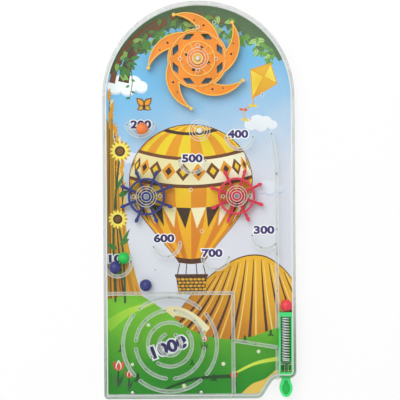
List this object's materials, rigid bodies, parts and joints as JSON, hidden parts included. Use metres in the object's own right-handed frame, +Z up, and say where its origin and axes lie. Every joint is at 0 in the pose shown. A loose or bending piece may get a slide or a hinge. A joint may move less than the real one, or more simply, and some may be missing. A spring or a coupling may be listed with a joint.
{
  "type": "tabletop pinball game",
  "caption": "Flat dome-topped pinball toy with a clear cover, printed card, spinning wheels, scoring cups, ball maze and a sprung plunger.",
  "frame": {"origin": "middle of the case on the underside of the back plate", "axes": "+X to the player's right, +Y towards the dome, +Z up through the clear cover"},
  "size_m": [0.14, 0.29, 0.0138],
  "materials": {
    "clear_plastic": "clear, glossy",
    "back_plastic": "glossy, pale",
    "printed_card": "printed card, satin varnish",
    "orange_plastic": "glossy",
    "blue_plastic": "glossy",
    "red_plastic": "glossy",
    "green_plastic": "glossy",
    "axle_plastic": "glossy, white",
    "orange_ball_plastic": "glossy",
    "blue_ball_plastic": "glossy",
    "green_ball_plastic": "glossy",
    "red_ball_plastic": "glossy",
    "ball_steel": "polished",
    "spring_steel": "drawn wire"
  },
  "bodies": {
    "case": {"back_plate": "back_plastic", "blue_wheel_axle": "axle_plastic", "bumper_post": "clear_plastic", "cup_100": "clear_plastic", "cup_200": "clear_plastic", "cup_300": "clear_plastic", "cup_400": "clear_plastic", "cup_500": "clear_plastic", "cup_600": "clear_plastic", "cup_700": "clear_plastic", "front_cover": "clear_plastic", "lane_guide": "clear_plastic", "lane_wall_lower": "clear_plastic", "lane_wall_upper": "clear_plastic", "maze_inner_arc_1": "clear_plastic", "maze_outer_arc_1": "clear_plastic", "maze_outer_arc_2": "clear_plastic", "maze_outer_arc_3": "clear_plastic", "maze_outer_arc_4": "clear_plastic", "maze_second_arc_1": "clear_plastic", "maze_second_arc_2": "clear_plastic", "maze_second_arc_3": "clear_plastic", "maze_second_arc_4": "clear_plastic", "maze_side_wall": "clear_plastic", "maze_third_arc_1": "clear_plastic", "maze_third_arc_2": "clear_plastic", "maze_top_wall": "clear_plastic", "pinwheel_axle": "axle_plastic", "playfield_card": "printed_card", "plunger_spring": "spring_steel", "plunger_stop": "clear_plastic", "red_wheel_axle": "axle_plastic", "return_ramp": "clear_plastic"},
    "plunger_body": {"plunger": "green_plastic"},
    "pinwheel_body": {"pinwheel": "orange_plastic"},
    "blue_wheel_body": {"blue_wheel": "blue_plastic"},
    "red_wheel_body": {"red_wheel": "red_plastic"},
    "orange_ball_body": {"orange_ball": "orange_ball_plastic"},
    "blue_ball_lower_body": {"blue_ball_lower": "blue_ball_plastic"},
    "green_ball_body": {"green_ball": "green_ball_plastic"},
    "blue_ball_free_body": {"blue_ball_free": "blue_ball_plastic"},
    "red_ball_body": {"red_ball": "red_ball_plastic"},
    "steel_ball_left_body": {"steel_ball_left": "ball_steel"},
    "steel_ball_right_body": {"steel_ball_right": "ball_steel"}
  },
  "joints": [
    {"name": "pinwheel_spin", "type": "hinge", "parent": "case", "child": "pinwheel_body", "pos_m": [-0.0004, 0.103, 0.0075], "axis": [0, 0, 1], "continuous": true},
    {"name": "blue_wheel_spin", "type": "hinge", "parent": "case", "child": "blue_wheel_body", "pos_m": [-0.0385, 0.0024, 0.0075], "axis": [0, 0, 1], "continuous": true},
    {"name": "red_wheel_spin", "type": "hinge", "parent": "case", "child": "red_wheel_body", "pos_m": [0.0275, 0.0024, 0.0075], "axis": [0, 0, 1], "continuous": true},
    {"name": "plunger_slide", "type": "slide", "parent": "case", "child": "plunger_body", "axis": [0, -1, 0], "range_m": [0, 0.024], "stiffness_N_per_m": 60, "springref_m": -0.004, "deforming": ["plunger_spring"]},
    {"name": "red_ball_roll", "type": "slide", "parent": "case", "child": "red_ball_body", "axis": [0, 1, 0], "range_m": [0, 0.15]},
    {"name": "orange_ball_roll", "type": "slide", "parent": "case", "child": "orange_ball_body", "axis": [0, 1, 0], "range_m": [0, 0.04]},
    {"name": "blue_ball_lower_roll", "type": "slide", "parent": "case", "child": "blue_ball_lower_body", "axis": [0, 1, 0], "range_m": [0, 0.01]},
    {"name": "green_ball_roll", "type": "slide", "parent": "blue_ball_lower_body", "child": "green_ball_body", "axis": [0.7071, 0.7071, 0], "range_m": [0, 0.014]},
    {"name": "blue_ball_free_roll", "type": "slide", "parent": "case", "child": "blue_ball_free_body", "axis": [1, 0, 0], "range_m": [-0.024, 0.062]},
    {"name": "steel_ball_left_roll", "type": "slide", "parent": "case", "child": "steel_ball_left_body", "axis": [1, 0, 0], "range_m": [-0.016, 0.013]},
    {"name": "steel_ball_right_roll", "type": "slide", "parent": "case", "child": "steel_ball_right_body", "axis": [1, 0, 0], "range_m": [-0.008, 0.0205]}
  ]
}
